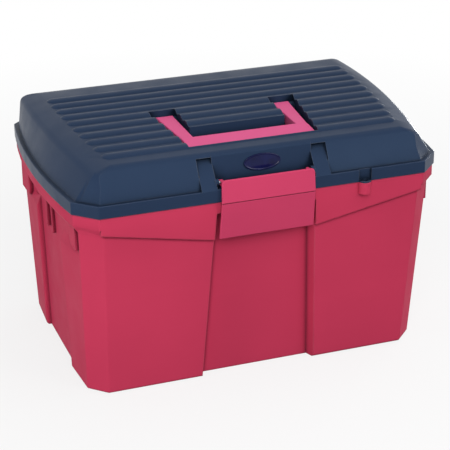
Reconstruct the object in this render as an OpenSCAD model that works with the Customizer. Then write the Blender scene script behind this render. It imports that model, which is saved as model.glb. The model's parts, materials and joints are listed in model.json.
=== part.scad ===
// Grooming box: a drafted tub with a domed, ribbed lid, a bail handle sunk in the lid,
// a wide front latch and a lift-out tray. Millimetres, +Z up, front towards -Y,
// origin on the floor under the middle of the lid's rim.

/* [Overall] */
// Height of the seam between tub and lid above the floor
seam_z = 210; // [195:1:235]
// Length of the lid's rim at its corners
rim_l = 400; // [390:1:430]
// Outward bow of the rim's ends at their middle
rim_bow = 10; // [0:0.5:12]
// Depth of the lid's rim, front to back
rim_w = 293; // [287:1:310]
// Height of the lid's rim
rim_h = 13.3; // [12:0.1:15]
// Corner cut of the rim, measured along each side
rim_cut = 22.5; // [18:0.5:27]

/* [Tub] */
// Wall of the tub
tub_wall = 3; // [2.4:0.1:3.6]
// Floor of the tub
tub_floor = 3; // [2:0.1:5]
// Length of the tub at the floor, across the corner edges of its ends
base_l = 374; // [366:1:378]
// Front face at the floor, from the centre
base_front = 122; // [116:1:128]
// Rear face at the floor, from the centre
base_rear = 128; // [120:1:134]
// Corner cut at the floor
base_cut = 18.5; // [15:0.5:22]
// How far the end walls stand inside the rim at the seam
end_inset = 6.5; // [5.5:0.1:8]
// How far the front and rear walls stand inside the rim at the seam
side_inset = 3; // [2.6:0.1:4]
// Corner cut of the walls at the seam
top_cut = 20.5; // [17:0.5:24]
// Bevel round the foot of the tub
foot_bevel = 2; // [1:0.1:3]

/* [Front channel] */
// Width of the channel's mouth at the floor
channel_base_w = 128.6; // [120:0.2:140]
// Width of the channel's mouth at the seam
channel_top_w = 107; // [106:0.2:114]
// Depth of the channel
channel_depth = 11.4; // [8:0.2:14]
// How far each side of the channel slants in
channel_flare = 4; // [2:0.2:6]
// How far the bands beside the latch hang down next to the channel
band_drop = 43.5; // [36:0.5:50]
// How far the bands hang down at the corners
band_corner_drop = 19.5; // [15:0.5:26]

/* [End walls] */
// Middle of the end recess, behind the centre
recess_y = 3.5; // [0:0.5:8]
// Width of the recess at the floor
recess_base_w = 112; // [100:1:124]
// Width of the recess at the seam
recess_top_w = 98; // [90:1:110]
// How far each side of the recess slants in
recess_flare = 1.5; // [0.5:0.1:3]
// How far the recess lies behind the corner edge
recess_drop = 2.3; // [1:0.1:3]
// How far a panel swells out from the corner edge to the recess
panel_rise = 3; // [1:0.1:4]
// Where the swelling panels begin to fade, below the seam
panel_top_drop = 60; // [50:1:80]
// Height over which the panels fade
panel_fade = 12; // [6:1:20]
// Drop of the front corner pads below the seam
front_pad_drop = 43; // [32:1:50]
// Drop of the rear corner pads below the seam
rear_pad_drop = 58; // [40:1:64]
// Width of the front corner pads
front_pad_w = 21; // [14:1:26]
// Width of the rear corner pads
rear_pad_w = 32; // [16:1:36]
// How far the pads stand inside the rim's end
pad_inset = 4.2; // [3.6:0.1:5]
// Spacing of the two thin ribs in the recess
mid_rib_spacing = 22; // [14:1:40]
// Thickness of those ribs
mid_rib_t = 2; // [1.5:0.1:3]
// Drop of those ribs below the seam
mid_rib_drop = 68; // [40:1:90]

/* [Collar] */
// Height of the collar under the seam
collar_h = 13; // [10:0.5:15]
// How far the collar's face stands inside the rim's face
collar_inset = 1.5; // [1:0.1:2]
// Height of the slope under the collar
collar_slope = 9; // [6:0.5:12]
// How far that slope runs in
collar_run = 6; // [4:0.5:8]
// Gap between the collar and the lid's rim
seam_gap = 0.3; // [0.2:0.05:0.6]
// Height of the neck inside the rim
neck_h = 8; // [6:0.5:9]
// Gap between the neck and the rim's inside
neck_gap = 1.1; // [0.9:0.1:1.6]

/* [Lid] */
// Wall of the lid
lid_wall = 2.6; // [2:0.1:3]
// Wall of the rim
skirt_wall = 3; // [2.6:0.1:3.2]
// Ledge round the foot of the lid's walls
ledge_w = 4; // [3:0.1:5]
// Height of the dome above the seam
dome_h = 54.5; // [50:0.5:60]
// Where the dome is highest, behind the centre
dome_peak_y = 70; // [50:1:85]
// Height of the front top edge above the seam
front_edge_h = 46; // [43:0.5:48]
// How far the front wall leans back
front_lean = 16; // [14:0.5:20]
// How far the front wall bulges
front_bulge = 1.2; // [0.5:0.1:2]
// How far the rear wall leans forward
rear_lean = 32; // [24:0.5:36]
// Rounding of the front top edge
front_round = 5; // [3:0.5:7]
// Rounding of the rear top edge
rear_round = 16; // [8:1:20]
// Length of the lid across its side creases, at the widest place
crease_l = 390; // [384:1:391]
// Where the creases are widest, behind the centre
crease_peak_y = 60; // [30:1:80]
// How far each crease draws in by the front top edge
crease_narrowing = 18; // [10:0.5:22]
// How far the sloping borders drop to the creases
border_drop = 6.5; // [4:0.5:9]
// Width of the sloping side borders
border_w = 20; // [14:1:26]
// Rounding of the side creases
crease_round = 5; // [3:0.5:7]

/* [Lid ribs] */
// Number of ribs along the lid
rib_count = 10; // [6:1:11]
// Spacing of the ribs
rib_pitch = 18.6; // [16:0.1:19]
// Middle of the front rib, ahead of the centre
rib_front_y = 102.5; // [98:0.5:104]
// Width of a rib
rib_w = 15; // [10:0.5:15.5]
// Height of a rib above the dome
rib_h = 2.6; // [1.5:0.1:3.5]

/* [Lid front] */
// Width of the bay for the latch and the badge
bay_w = 107; // [106:0.2:112]
// Width of a pillar beside the bay
pillar_w = 17; // [13:0.5:22]
// How far the bay's back wall stands behind the rim's face, at the ledge
bay_depth = 14.5; // [14:0.5:18]
// How far the bay's back wall leans back
bay_lean = 3.5; // [2:0.5:5]
// How far a pillar's head is sunk behind the front wall's edge
pillar_sink = 2.6; // [1:0.1:4]
// Thickness of a pillar's cheek
cheek_t = 5; // [4:0.2:7]
// Thickness of a pillar, front to back
pillar_t = 6; // [5.5:0.2:8]
// Height of the badge
badge_h = 17.5; // [12:0.5:18]
// Width of the badge
badge_w = 40; // [24:1:60]
// Thickness of the badge
badge_t = 1.8; // [1:0.1:2.4]
// How far the badge sits below the middle of the panel over the latch
badge_drop = 2.2; // [0:0.1:3]

/* [Handle] */
// Width of the handle across its grip
handle_w = 140; // [130:1:146]
// Width of an arm beside the grip
arm_w = 13; // [10:0.5:14]
// Width of an arm at its heel
arm_heel_w = 19; // [14:0.5:21]
// Height of the arms
arm_h = 11; // [9.5:0.5:11.5]
// Top of the arms above the seam, beside the grip
arm_top_h = 48; // [46.5:0.5:48.5]
// Top of the arms' heels above the seam
heel_top_h = 50; // [48:0.5:50.5]
// Front edge of the grip, ahead of the centre
grip_front_y = 108; // [104:0.5:110]
// Depth of the grip, front to back
grip_w = 27; // [20:0.5:29]
// Rise of the grip's rear lip over the arms
grip_lip = 0.8; // [0.4:0.1:1.5]
// Fall of the grip's top towards its front edge
grip_fall = 1.7; // [1:0.1:3]
// Pivot of the handle, ahead of the centre
handle_pivot_y = 15.5; // [12:0.5:20]
// Diameter of the handle's pins
handle_pin_d = 5; // [4:0.1:5.5]
// Room between an arm and the island inside the handle
arm_gap = 3.5; // [2:0.5:5]
// Room outside an arm at the grip
grip_side_gap = 1; // [0.6:0.1:3]
// Room outside an arm at its heel
heel_side_gap = 7; // [2:0.5:8]
// Room behind the heels
heel_gap = 1; // [0.6:0.1:2]
// Room in front of the grip
grip_gap = 0.7; // [0.4:0.1:1.5]
// Finger room behind the grip
finger_gap = 21; // [16:0.5:24]
// Room under the arms
arm_floor_gap = 2.5; // [1:0.5:3]

/* [Latch] */
// Width of the latch at its top
latch_top_w = 101; // [96:0.5:102]
// Width of the latch at its foot
latch_foot_w = 103.4; // [98:0.2:103.6]
// Thickness of the latch plate
latch_t = 2.6; // [2:0.1:2.8]
// Top of the latch above the seam
latch_rise = 23.7; // [22:0.1:24.5]
// Foot of the latch below the seam
latch_drop = 41.3; // [34:0.1:42]
// How far the latch's crease stands out from the rim's face
latch_crease_out = 5.4; // [5:0.1:6]
// How far its top stands out from the rim's face
latch_top_out = 3.4; // [3:0.1:4]
// How far its foot stands behind the rim's face
latch_foot_in = 1.2; // [0.5:0.1:2]
// Rounding of the latch's upper corners
latch_round = 4; // [2:0.5:8]
// Pivot of the latch above the seam
latch_pivot_h = 18; // [17.8:0.1:19]
// Pivot of the latch behind the rim's face
latch_pivot_in = 8.5; // [8:0.1:9]
// Diameter of the latch's pins
latch_pin_d = 4; // [3:0.1:4.4]
// Thickness of the latch's ears
ear_t = 4; // [3:0.2:6]
// Width of the hook behind the latch plate
hook_w = 80; // [40:1:90]

/* [Hinges] */
// Distance of the hinge pins behind the rim's face
hinge_back = 5.5; // [5.2:0.1:7]
// Height of the hinge pins above the seam
hinge_rise = 2; // [1.5:0.1:3]
// Diameter of the hinge pins
hinge_pin_d = 5; // [4:0.1:5.4]
// Diameter of the knuckles
knuckle_d = 9; // [8.4:0.1:9.4]
// Middle of each hinge, from the centre
hinge_x = 110; // [80:1:130]
// Length of the lid's knuckle
lid_knuckle_l = 23; // [14:0.5:40]
// Length of each tub knuckle
tub_knuckle_l = 10; // [8:0.5:16]

/* [Padlock eye] */
// Middle of the padlock eye, from the centre
eye_x = 108.8; // [90:0.2:140]
// Radius of the half-round eye
eye_r = 7; // [6:0.1:8]
// Diameter of the eye's hole
eye_hole_d = 4.4; // [3:0.1:5]
// How far the hole stands out from the rim's face
eye_hole_out = 1.5; // [1.2:0.1:2]
// Thickness of the lid's eye tab
eye_tab_h = 1.8; // [1.2:0.1:3]
// Depth of the notch above the tab
eye_notch = 2; // [1:0.1:2.2]

/* [Tray] */
// Length of the tray at its top
tray_l = 368; // [330:1:370]
// Front of the tray at its top, ahead of the centre
tray_front = 112; // [100:1:114]
// Rear of the tray at its top, behind the centre
tray_rear = 124; // [100:1:127]
// Height of the tray
tray_h = 44; // [30:1:50]
// Top of the tray below the seam
tray_top_drop = 6; // [4:0.5:12]
// Wall of the tray
tray_wall = 2; // [1.5:0.1:3]
// Draft of the tray over its height
tray_draft = 4; // [2:0.5:6]
// Corner radius of the tray
tray_corner_r = 14; // [8:1:24]
// Length of the carrying arch in the middle of the tray
arch_l = 120; // [90:1:150]
// Thickness of the carrying arch
arch_t = 6; // [4:0.5:9]
// Height of the finger opening in the arch
arch_hole_h = 22; // [18:1:26]
// Width of the tray's rests on the end walls
rest_w = 28; // [16:1:40]
// How far the rests reach in under the tray
rest_reach = 9; // [5:0.5:14]

/* [Hidden] */

$fn = 48;
pink = "#C23F63";
navy = "#2C3A52";
bright_pink = "#D9527F";
steel = "#B9BDC2";
gloss_navy = "#141838";
tray_grey = "#3A4152";

// Overrun of every cut past the face it leaves
over = 1;
// Radial room of a running pin
pin_clear = 0.05;
// Sideways room between knuckles, ears and cheeks
side_clear = 0.4;
// Inset of a corner cut per unit of inset wall
cut_share = 2 - sqrt(2);
// Shift of a corner's ends per unit of inset wall
corner_share = tan(22.5);

// Main planes
rim_front = rim_w / 2;
ledge_z = seam_z + rim_h;
foot_half_w = rim_w / 2 - ledge_w;
foot_half_l = rim_l / 2 - ledge_w;
top_front = rim_w / 2 - side_inset;
top_l = rim_l - 2 * end_inset;
collar_front = rim_w / 2 - collar_inset;
shelf_z = seam_z - collar_h;
front_draft = atan((top_front - base_front) / seam_z);

function mix(a, b, t) = a + (b - a) * t;

// A corner at b rounded between points a and c, in n steps
function rounded(a, b, c, n) =
    [for (i = [0:n]) let (s = i / n) (1 - s) * (1 - s) * a + 2 * s * (1 - s) * b + s * s * c];

// A point at distance r from b towards a
function towards(b, a, r) = b + (a - b) * (r / norm(a - b));

// Numbers in falling order, without repeats
function falling(v) = len(v) < 2 ? v : let (p = v[floor(len(v) / 2)])
    concat(falling([for (x = v) if (x > p) x]), [p], falling([for (x = v) if (x < p) x]));

// Bow of an end at depth y, where the end reaches from -half to half
function end_bow(y, half) = rim_bow * max(0, 1 - pow(y / half, 2));

// Rectangle with cut corners and bowed ends
bow_steps = 12;
function cut_rect(l, w, c) =
    let (half = w / 2 - c,
         end = [for (i = [0:bow_steps]) let (y = mix(-half, half, i / bow_steps)) [l / 2 + end_bow(y, half), y]])
    concat([[l / 2 - c, -w / 2]], end,
           [[l / 2 - c, w / 2], [c - l / 2, w / 2]],
           [for (i = [bow_steps:-1:0]) [-end[i][0], end[i][1]]],
           [[c - l / 2, -w / 2]]);

// The rim's outline, drawn in by d
function rim_outline(d) = cut_rect(rim_l - 2 * d, rim_w - 2 * d, rim_cut - cut_share * d);

function at_height(outline, z) = [for (p = outline) [p[0], p[1], z]];

// A closed skin over rings of equal length, stacked along the direction they turn about
module loft(rings) {
    n = len(rings[0]);
    m = len(rings);
    polyhedron(
        points = [for (r = rings) each r],
        faces = concat(
            [[for (i = [0:n - 1]) i]],
            [[for (i = [n - 1:-1:0]) (m - 1) * n + i]],
            [for (k = [0:m - 2]) for (i = [0:n - 1]) let (j = (i + 1) % n)
                each [[k * n + i, (k + 1) * n + i, (k + 1) * n + j],
                      [k * n + i, (k + 1) * n + j, k * n + j]]]));
}

// A profile drawn in Y and Z, extruded along X
module along_x(x0, x1) {
    translate([x0, 0, 0])
        rotate([90, 0, 90])
            linear_extrude(x1 - x0)
                children();
}

// A rod along X
module rod_x(x0, x1, y, z, d) {
    translate([x0, y, z])
        rotate([0, 90, 0])
            cylinder(h = x1 - x0, d = d);
}

module both_sides() {
    children();
    mirror([1, 0, 0])
        children();
}

// Tub

// Half outline of the tub's walls at share t of the seam's height, drawn in by d
function tub_half(t, d) =
    let (front = mix(base_front, top_front, t),
         rear = mix(base_rear, top_front, t),
         end_x = mix(base_l, top_l, t) / 2,
         cut = mix(base_cut, top_cut, t),
         recess = mix(recess_base_w, recess_top_w, t) / 2)
    [[end_x - cut - corner_share * d, d - front],
     [end_x - d, cut - front + corner_share * d],
     [end_x + panel_rise - d, recess_y - recess],
     [end_x + panel_rise - d, recess_y + recess],
     [end_x - d, rear - cut - corner_share * d],
     [end_x - cut - corner_share * d, rear - d]];

function tub_ring(z, d) =
    let (half = tub_half(z / seam_z, d), n = len(half))
    at_height(concat(half, [for (i = [n - 1:-1:0]) [-half[i][0], half[i][1]]]), z);

// Plan of the front channel at height z, grown by d
function channel_ring(z, d) =
    let (t = z / seam_z,
         front = mix(base_front, top_front, t),
         mouth = mix(channel_base_w, channel_top_w, t) / 2,
         inner = mouth - channel_flare + d,
         outer = mouth + channel_flare + d)
    at_height([[outer, -front - channel_depth], [inner, channel_depth - front + d],
               [-inner, channel_depth - front + d], [-outer, -front - channel_depth]], z);

// Plan of an end recess at height z, grown by d
function recess_ring(z, d) =
    let (t = z / seam_z,
         floor_x = mix(base_l, top_l, t) / 2 - recess_drop,
         reach = 2 * (recess_drop + panel_rise),
         half = mix(recess_base_w, recess_top_w, t) / 2,
         inner = half - recess_flare + d,
         outer = half + recess_flare + d)
    at_height([[floor_x + reach, recess_y - outer], [floor_x + reach, recess_y + outer],
               [floor_x - d, recess_y + inner], [floor_x - d, recess_y - inner]], z);

// Plan of the space outside an end wall above its panels: its middle stands at mid from the corner edges
function upper_end_ring(z, mid, d) =
    let (t = z / seam_z,
         end_x = mix(base_l, top_l, t) / 2,
         cut = mix(base_cut, top_cut, t),
         half = mix(recess_base_w, recess_top_w, t) / 2,
         y0 = cut - mix(base_front, top_front, t),
         y1 = mix(base_rear, top_front, t) - cut,
         far_x = end_x + 4 * panel_rise)
    at_height([[far_x, y0], [far_x, y1], [end_x - d, y1], [end_x + mid - d, recess_y + half],
               [end_x + mid - d, recess_y - half], [end_x - d, y0]], z);

panel_top_z = seam_z - panel_top_drop;

// Everything that is taken out of the plain wall form, grown by d, up to height z1
module wall_cuts(d, z1) {
    loft([channel_ring(-over, d), channel_ring(z1, d)]);
    both_sides() {
        loft([recess_ring(-over, d), recess_ring(z1 + over, d)]);
        loft([upper_end_ring(panel_top_z, panel_rise, d - seam_gap),
              upper_end_ring(panel_top_z + panel_fade, -recess_drop, d),
              upper_end_ring(z1 + over, -recess_drop, d)]);
    }
}

module tub_outside() {
    difference() {
        loft([tub_ring(0, foot_bevel), tub_ring(foot_bevel, 0), tub_ring(seam_z - seam_gap - over, 0)]);
        wall_cuts(0, shelf_z);
    }
}

module tub_inside() {
    inner_shelf_z = shelf_z + tub_wall;
    difference() {
        loft([tub_ring(tub_floor, tub_wall), tub_ring(inner_shelf_z, tub_wall)]);
        wall_cuts(tub_wall, inner_shelf_z);
    }
    translate([0, 0, inner_shelf_z - over / 2])
        linear_extrude(collar_h + neck_h)
            polygon(rim_outline(skirt_wall + neck_gap + tub_wall));
}

module collar() {
    loft([at_height(rim_outline(collar_inset + collar_run), shelf_z - collar_slope),
          at_height(rim_outline(collar_inset), shelf_z),
          at_height(rim_outline(collar_inset), seam_z - seam_gap)]);
    translate([0, 0, shelf_z])
        linear_extrude(collar_h + neck_h)
            polygon(rim_outline(skirt_wall + neck_gap));
}

// The space under the collar where the channel runs up to it
module channel_head() {
    t = (shelf_z - collar_slope) / seam_z;
    mouth = mix(channel_base_w, channel_top_w, t) / 2;
    floor_y = channel_depth - mix(base_front, top_front, shelf_z / seam_z);
    translate([-mouth, -rim_w, shelf_z - collar_slope - over])
        cube([2 * mouth, rim_w + floor_y, collar_slope + over]);
}

// The bands that run down from the collar to the foot of the latch
module front_band() {
    inner_shelf_x = mix(channel_base_w, channel_top_w, shelf_z / seam_z) / 2;
    inner_foot_x = mix(channel_base_w, channel_top_w, 1 - band_drop / seam_z) / 2;
    outer_x = rim_l / 2 - rim_cut - collar_inset;
    band_t = tub_wall + collar_inset;
    translate([0, -collar_front, shelf_z])
        rotate([90 + front_draft, 0, 0])
            translate([0, 0, -band_t])
                linear_extrude(band_t)
                    polygon([[inner_shelf_x, 0], [inner_foot_x, collar_h - band_drop],
                             [outer_x, collar_h - band_corner_drop], [outer_x, 0]]);
}

// A pad under the collar on an end wall
module end_pad(y0, w, drop) {
    wall_x = mix(base_l, top_l, 1 - drop / seam_z) / 2;
    outer_x = rim_l / 2 - pad_inset;
    translate([wall_x - tub_wall, y0, seam_z - drop])
        cube([outer_x - wall_x + tub_wall, w, drop - collar_h / 2]);
}

module end_details() {
    front_y = top_cut - mix(base_front, top_front, 1 - front_pad_drop / seam_z);
    rear_y = mix(base_rear, top_front, 1 - rear_pad_drop / seam_z) - top_cut;
    rib_foot_x = mix(base_l, top_l, 1 - mid_rib_drop / seam_z) / 2;
    end_pad(front_y + mid_rib_t, front_pad_w, front_pad_drop);
    end_pad(rear_y - mid_rib_t - rear_pad_w, rear_pad_w, rear_pad_drop);
    for (side = [-1, 1])
        translate([rib_foot_x - recess_drop - tub_wall / 2,
                   recess_y + side * mid_rib_spacing / 2 - mid_rib_t / 2,
                   seam_z - mid_rib_drop])
            cube([recess_drop + tub_wall, mid_rib_t, mid_rib_drop - collar_h / 2]);
}

// A bracket on the inside of an end wall, with a sloped underside, for the tray to rest on
tray_z = seam_z - tray_top_drop - tray_h;
tray_base_half_l = tray_l / 2 - tray_draft;

module tray_rest(y0) {
    wall_x = mix(base_l, top_l, tray_z / seam_z) / 2;
    inner_x = tray_base_half_l - rest_reach;
    translate([0, y0 + rest_w, 0])
        rotate([90, 0, 0])
            linear_extrude(rest_w)
                polygon([[inner_x, tray_z], [inner_x, tray_z - tub_wall],
                         [wall_x - tub_wall / 2, tray_z - 2 * rest_reach - tub_wall],
                         [wall_x - tub_wall / 2, tray_z]]);
}

module tray_rests() {
    base_half = recess_base_w / 2 + tub_wall;
    tray_rest(recess_y - base_half - rest_w);
    tray_rest(recess_y + base_half);
}

// Hinge places
hinge_y = rim_w / 2 + hinge_back;
hinge_z = seam_z + hinge_rise;
knuckle_r = knuckle_d / 2;
tub_knuckle_x = hinge_x - lid_knuckle_l / 2 - side_clear - tub_knuckle_l;
hinge_l = lid_knuckle_l + 2 * side_clear + 2 * tub_knuckle_l;

module tub_knuckle(x0) {
    rear_y = collar_front;
    rod_x(x0, x0 + tub_knuckle_l, hinge_y, hinge_z, knuckle_d);
    along_x(x0, x0 + tub_knuckle_l)
        polygon([[rear_y - tub_wall, shelf_z],
                 [rear_y, shelf_z],
                 [hinge_y + knuckle_r / 2, hinge_z - knuckle_d],
                 [hinge_y + knuckle_r, hinge_z],
                 [hinge_y - knuckle_r, hinge_z],
                 [hinge_y - knuckle_r, seam_z - 2 * seam_gap],
                 [rear_y - tub_wall, seam_z - 2 * seam_gap]]);
}

module padlock_hole() {
    translate([eye_x, -rim_front - eye_hole_out, seam_z - collar_h - collar_slope])
        cylinder(h = collar_h + collar_slope + rim_h, d = eye_hole_d);
}

// The tub's half of the padlock eye: a half-round boss seated on the collar's face
module padlock_boss() {
    color(pink)
        difference() {
            translate([eye_x, -collar_front, shelf_z - seam_gap])
                cylinder(h = collar_h, r = eye_r);
            translate([eye_x - 2 * eye_r, -collar_front, shelf_z - collar_h])
                cube([4 * eye_r, 2 * eye_r, 3 * collar_h]);
            padlock_hole();
        }
}

module tub() {
    color(pink)
        difference() {
            union() {
                difference() {
                    union() {
                        tub_outside();
                        difference() {
                            collar();
                            channel_head();
                        }
                        both_sides() {
                            front_band();
                            end_details();
                        }
                    }
                    tub_inside();
                }
                both_sides() {
                    tray_rests();
                    tub_knuckle(tub_knuckle_x);
                    tub_knuckle(tub_knuckle_x + hinge_l - tub_knuckle_l);
                }
            }
            both_sides()
                rod_x(tub_knuckle_x - over, tub_knuckle_x + hinge_l + over,
                      hinge_y, hinge_z, hinge_pin_d);
        }
}

// Lid

// Height of the dome at depth y
dome_fall = dome_h - front_edge_h;
front_edge_y = front_lean - foot_half_w;
rear_edge_y = foot_half_w - rear_lean;
function dome_z(y) =
    let (s = (y - dome_peak_y) / (front_edge_y - dome_peak_y))
    seam_z + dome_h - dome_fall * s * s;

// Profile of the lid across its depth, drawn in by d, from the front foot to the rear foot
function lid_profile(d, foot_z) =
    let (foot_f = [d - foot_half_w, foot_z],
         edge_f = [front_edge_y + d, dome_z(front_edge_y) - d],
         mid_f = (foot_f + edge_f) / 2 - [front_bulge, 0],
         low_f = towards(edge_f, mid_f, front_round),
         high_f = [front_edge_y + d + front_round, dome_z(front_edge_y + d + front_round) - d],
         foot_r = [foot_half_w - d, foot_z],
         edge_r = [rear_edge_y - d, dome_z(rear_edge_y) - d],
         low_r = towards(edge_r, foot_r, rear_round),
         high_r = [rear_edge_y - d - rear_round, dome_z(rear_edge_y - d - rear_round) - d],
         steps = 14)
    concat([foot_f, mid_f],
           rounded(low_f, edge_f, high_f, 5),
           [for (i = [1:steps - 1]) let (y = mix(high_f[0], high_r[0], i / steps)) [y, dome_z(y) - d]],
           rounded(high_r, edge_r, low_r, 7),
           [foot_r]);

// Half length of the crease at depth y, with the corner cuts beyond the top edges
function crease_x(y) =
    let (s = (y - crease_peak_y) / (front_edge_y - crease_peak_y))
    crease_l / 2 - crease_narrowing * s * s - max(0, front_edge_y - y) - max(0, y - rear_edge_y);

foot_cut = rim_cut - cut_share * ledge_w;
foot_end_w = foot_half_w - foot_cut;
function foot_x(y) = foot_half_l + end_bow(y, foot_end_w) - max(0, abs(y) - foot_end_w);

// Section of the lid across its length at depth y, drawn in by d
function lid_section(y, d, foot_z) =
    let (foot = [foot_x(y) - d, foot_z],
         crease = [crease_x(y) - d, dome_z(y) - border_drop - d],
         slope = border_drop / border_w,
         top = [crease[0] - border_w - dome_fall / slope, crease[1] + border_drop + dome_fall],
         half = concat([foot],
                       rounded(towards(crease, foot, crease_round), crease,
                               towards(crease, top, crease_round), 4),
                       [top]),
         n = len(half))
    concat([for (p = half) [p[0], y, p[1]]],
           [for (i = [n - 1:-1:0]) [-half[i][0], y, half[i][1]]]);

module lid_form(d, foot_z) {
    even = 12;
    stations = falling(concat(
        [foot_half_w + over, rear_edge_y, foot_end_w, -foot_end_w, front_edge_y, -foot_half_w - over],
        [for (i = [1:even - 1]) mix(rear_edge_y, front_edge_y, i / even)]));
    intersection() {
        along_x(-rim_l / 2 - rim_bow, rim_l / 2 + rim_bow)
            polygon(lid_profile(d, foot_z));
        loft([for (y = stations) lid_section(y, d, foot_z - over)]);
    }
}

rib_r = (rib_w * rib_w / 4 + rib_h * rib_h) / (2 * rib_h);

// A rib as a turned bar whose rounded ends meet the dome at half length x
rib_end_steps = 4;
module rib_bar(x) {
    half = x - rib_w / 2;
    end = [for (i = [0:rib_end_steps]) let (a = i * 60 / rib_end_steps) [rib_r * cos(a), half + rib_r * sin(a)]];
    rotate([0, 90, 0])
        rotate_extrude()
            polygon(concat([[0, -end[rib_end_steps][1]]],
                           [for (i = [rib_end_steps:-1:0]) [end[i][0], -end[i][1]]],
                           end,
                           [[0, end[rib_end_steps][1]]]));
}

module lid_ribs() {
    for (i = [0:rib_count - 1])
        let (y = i * rib_pitch - rib_front_y)
            translate([0, y, dome_z(y) + rib_h - rib_r])
                rib_bar(crease_x(y) - border_w);
}

// Plan of the handle's well: two arm slots that widen to the rear and the grip slot, grown by g
arm_outer_x = handle_w / 2;
arm_inner_x = handle_w / 2 - arm_w;
heel_outer_x = arm_inner_x + arm_heel_w;
heel_r = arm_h / 2;
well_front_y = -grip_front_y - grip_gap;
well_rear_y = heel_r + heel_gap - handle_pivot_y;
well_inner_x = arm_inner_x - arm_gap;
well_front_x = arm_outer_x + grip_side_gap;
well_rear_x = heel_outer_x + heel_side_gap;
island_front_y = grip_w + finger_gap - grip_front_y;
well_floor_z = seam_z + arm_top_h - arm_h - arm_floor_gap;

module handle_well(g) {
    for (side = [0, 1])
        mirror([side, 0])
            polygon([[well_inner_x - g, well_front_y - g], [well_front_x + g, well_front_y - g],
                     [well_rear_x + g, well_rear_y + g], [well_inner_x - g, well_rear_y + g]]);
    translate([-well_inner_x, well_front_y - g])
        square([2 * well_inner_x, island_front_y - well_front_y + 2 * g]);
}

handle_pivot_z = seam_z + heel_top_h - heel_r;
handle_pin_x0 = well_inner_x - lid_wall / 2;
handle_pin_x1 = well_rear_x + lid_wall / 2;
handle_boss_d = 2 * handle_pin_d;

// Bosses on the well's walls, either side of an arm's heel
module handle_bosses() {
    rod_x(handle_pin_x0, arm_inner_x - side_clear, -handle_pivot_y, handle_pivot_z, handle_boss_d);
    rod_x(heel_outer_x + side_clear, handle_pin_x1, -handle_pivot_y, handle_pivot_z, handle_boss_d);
}

// The latch bay: planes of its back wall and of the pillars beside it
bay_half = bay_w / 2;
bay_foot_y = bay_depth - rim_front;
bay_head_y = bay_foot_y + bay_lean;
bay_head_z = seam_z + front_edge_h - front_round / 2;
pillar_head_z = bay_head_z - front_round / 4;
pillar_head_y = front_edge_y + pillar_sink;

module bay_space() {
    along_x(-bay_half, bay_half)
        polygon([[-rim_w, ledge_z], [bay_foot_y, ledge_z], [bay_head_y, bay_head_z], [-rim_w, bay_head_z]]);
    both_sides()
        along_x(bay_half - over, bay_half + pillar_w)
            polygon([[-rim_w, ledge_z], [-rim_front, ledge_z],
                     [pillar_head_y, pillar_head_z], [-rim_w, pillar_head_z]]);
}

module bay_walls() {
    behind = [lid_wall, 0];
    along_x(-bay_half - over, bay_half + over)
        polygon([[bay_foot_y, ledge_z - lid_wall], [bay_foot_y, ledge_z], [bay_head_y, bay_head_z],
                 [bay_head_y, bay_head_z] + [lid_wall, lid_wall / 2],
                 [bay_foot_y, ledge_z - lid_wall] + behind]);
    along_x(-bay_half - cheek_t, bay_half + cheek_t)
        polygon([[-rim_front + skirt_wall / 2, ledge_z - lid_wall], [-rim_front + skirt_wall / 2, ledge_z],
                 [bay_foot_y + lid_wall / 2, ledge_z], [bay_foot_y + lid_wall / 2, ledge_z - lid_wall]]);
    both_sides() {
        along_x(bay_half, bay_half + pillar_w)
            polygon([[-rim_front, ledge_z - over], [-rim_front, ledge_z], [pillar_head_y, pillar_head_z],
                     [pillar_head_y + pillar_t, pillar_head_z], [pillar_t - rim_front, ledge_z - over]]);
        along_x(bay_half, bay_half + cheek_t)
            polygon([[-rim_front, ledge_z - over], [-rim_front, ledge_z], [pillar_head_y, pillar_head_z],
                     [pillar_head_y + pillar_t, pillar_head_z], [bay_foot_y + pillar_t, ledge_z - over]]);
        rod_x(latch_top_w / 2, bay_half + over, latch_pivot_y, latch_pivot_z, 2 * ear_r);
    }
}

latch_pivot_y = latch_pivot_in - rim_front;
latch_pivot_z = seam_z + latch_pivot_h;
latch_pin_x0 = latch_top_w / 2 - side_clear - ear_t;
latch_pin_x1 = bay_half + cheek_t - side_clear;

module lid_knuckle() {
    x0 = hinge_x - lid_knuckle_l / 2;
    rod_x(x0, x0 + lid_knuckle_l, hinge_y, hinge_z, knuckle_d);
    along_x(x0, x0 + lid_knuckle_l)
        polygon([[rim_front - skirt_wall / 2, seam_z], [hinge_y, seam_z],
                 [hinge_y, hinge_z + knuckle_r], [rim_front - skirt_wall / 2, ledge_z - lid_wall]]);
}

module rim() {
    translate([0, 0, seam_z])
        linear_extrude(rim_h)
            polygon(rim_outline(0));
}

module lid_hollow() {
    shelf = rim_h - lid_wall;
    translate([0, 0, seam_z - over])
        linear_extrude(shelf + over)
            polygon(rim_outline(skirt_wall));
    difference() {
        lid_form(lid_wall, seam_z + shelf - over / 2);
        translate([0, 0, well_floor_z - lid_wall])
            linear_extrude(rim_w)
                handle_well(lid_wall);
    }
}

module padlock_notch() {
    translate([eye_x - eye_r, -rim_front - eye_r, seam_z + eye_tab_h])
        cube([2 * eye_r, eye_r + eye_notch, rim_h]);
}

module padlock_tab() {
    translate([eye_x, -collar_front, seam_z])
        cylinder(h = eye_tab_h, r = eye_r);
}

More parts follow.
